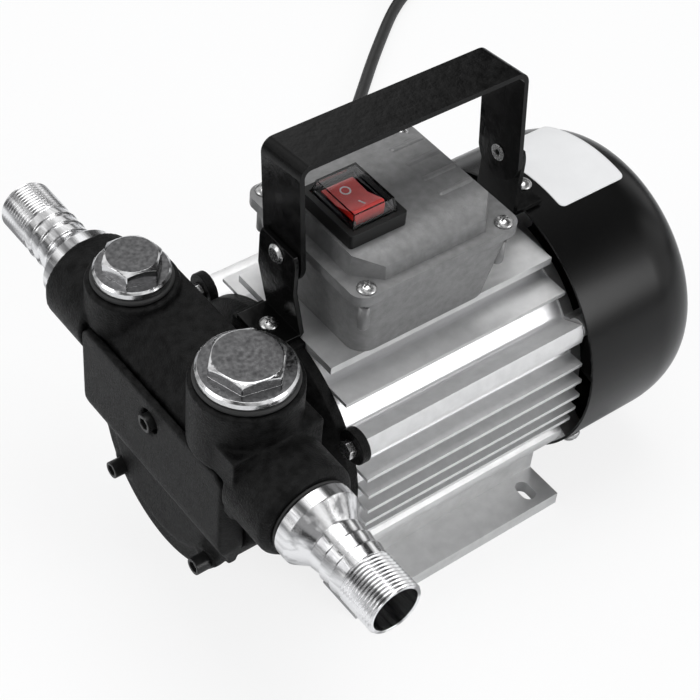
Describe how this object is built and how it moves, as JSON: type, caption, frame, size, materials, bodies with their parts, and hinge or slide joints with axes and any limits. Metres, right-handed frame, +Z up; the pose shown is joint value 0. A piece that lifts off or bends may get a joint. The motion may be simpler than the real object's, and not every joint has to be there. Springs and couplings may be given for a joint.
{
  "type": "electric oil transfer pump",
  "caption": "Self-priming vane pump for oil on a finned mains motor, with hose tails, a rocker switch box and a folding carry handle.",
  "frame": {"origin": "middle of the four foot slots, on the floor that the feet stand on", "axes": "+X along the motor shaft towards the fan, +Y along the ports towards the outlet, +Z up"},
  "size_m": [0.4785, 0.5784, 0.2348],
  "materials": {
    "housing_aluminium": "extruded, bright",
    "shield_alloy": "die cast",
    "black_casting": "black paint over a sand cast skin",
    "cover_black": "smooth satin black",
    "plated_steel": "bright zinc plate",
    "screw_steel": "zinc plated",
    "black_oxide": "oiled black",
    "box_alloy": "die cast, shot blasted",
    "handle_black": "satin powder coat",
    "switch_black": "moulded",
    "rocker_red": "lit red",
    "cap_clear": "clear soft plastic",
    "seal_rubber": "smooth",
    "lead_black": "matt sheath",
    "copper": "enamelled wire",
    "core_iron": "stacked sheet",
    "shaft_steel": "ground",
    "brass": "turned",
    "vane_plastic": "filled plastic",
    "fan_plastic": "moulded",
    "capacitor_white": "moulded",
    "terminal_cream": "moulded"
  },
  "bodies": {
    "pump_set": {"motor_housing": "housing_aluminium", "front_shield": "black_casting", "rear_shield": "shield_alloy", "fan_cover": "cover_black", "cover_screws": "screw_steel", "tie_bolts": "screw_steel", "stator_core": "core_iron", "windings": "copper", "bearing_outer_rings": "shaft_steel", "pump_casting": "black_casting", "pump_cover": "black_casting", "cover_seal": "seal_rubber", "pump_screws": "black_oxide", "pump_liner": "core_iron", "shaft_seal": "seal_rubber", "filter_plug": "plated_steel", "filter_plug_seal": "seal_rubber", "strainer": "brass", "valve_plug": "plated_steel", "valve_plug_seal": "seal_rubber", "valve_spring": "screw_steel", "hose_tail_front": "plated_steel", "hose_tail_rear": "plated_steel", "tail_seals": "seal_rubber", "switch_box": "box_alloy", "box_gasket": "seal_rubber", "box_lid": "box_alloy", "lid_screws": "screw_steel", "box_screws": "screw_steel", "capacitor": "capacitor_white", "terminal_block": "terminal_cream", "switch_body": "switch_black", "switch_cap": "cap_clear", "bracket_front": "handle_black", "bracket_rear": "handle_black", "handle_rivets": "screw_steel", "bracket_screws": "screw_steel", "cable_gland": "switch_black", "strain_relief": "switch_black", "cord": "lead_black", "cord_coil": "lead_black", "plug_body": "lead_black", "plug_pins": "screw_steel"},
    "rotor": {"motor_shaft": "shaft_steel", "rotor_core": "core_iron", "bearing_inner_rings": "shaft_steel", "cooling_fan": "fan_plastic", "fan_clip": "screw_steel", "pump_rotor": "shaft_steel", "vanes": "vane_plastic"},
    "balls": {"bearing_balls": "shaft_steel"},
    "rocker": {"rocker": "rocker_red"},
    "handle": {"handle": "handle_black"},
    "valve": {"valve_poppet": "brass"}
  },
  "joints": [
    {"name": "rotor_spin", "type": "hinge", "parent": "pump_set", "child": "rotor", "pos_m": [0, 0, 0.0795], "axis": [1, 0, 0], "continuous": true},
    {"name": "balls_spin", "type": "hinge", "parent": "pump_set", "child": "balls", "pos_m": [0, 0, 0.0795], "axis": [1, 0, 0], "continuous": true},
    {"name": "handle_fold", "type": "hinge", "parent": "pump_set", "child": "handle", "pos_m": [-0.0059, 0, 0.1849], "axis": [1, 0, 0], "range_deg": [-83.5, 96.5]},
    {"name": "rocker_tilt", "type": "hinge", "parent": "pump_set", "child": "rocker", "pos_m": [-0.035, -0.0053, 0.1989], "axis": [1, 0, 0], "range_deg": [0, 18]},
    {"name": "bypass_lift", "type": "slide", "parent": "pump_set", "child": "valve", "axis": [0, 0, 1], "range_m": [0, 0.004], "stiffness_N_per_m": 800, "springref_m": -0.005, "deforming": ["valve_spring"]}
  ],
  "couplings": [
    {"joint": "balls_spin", "follows": "rotor_spin", "ratio": 0.38}
  ]
}
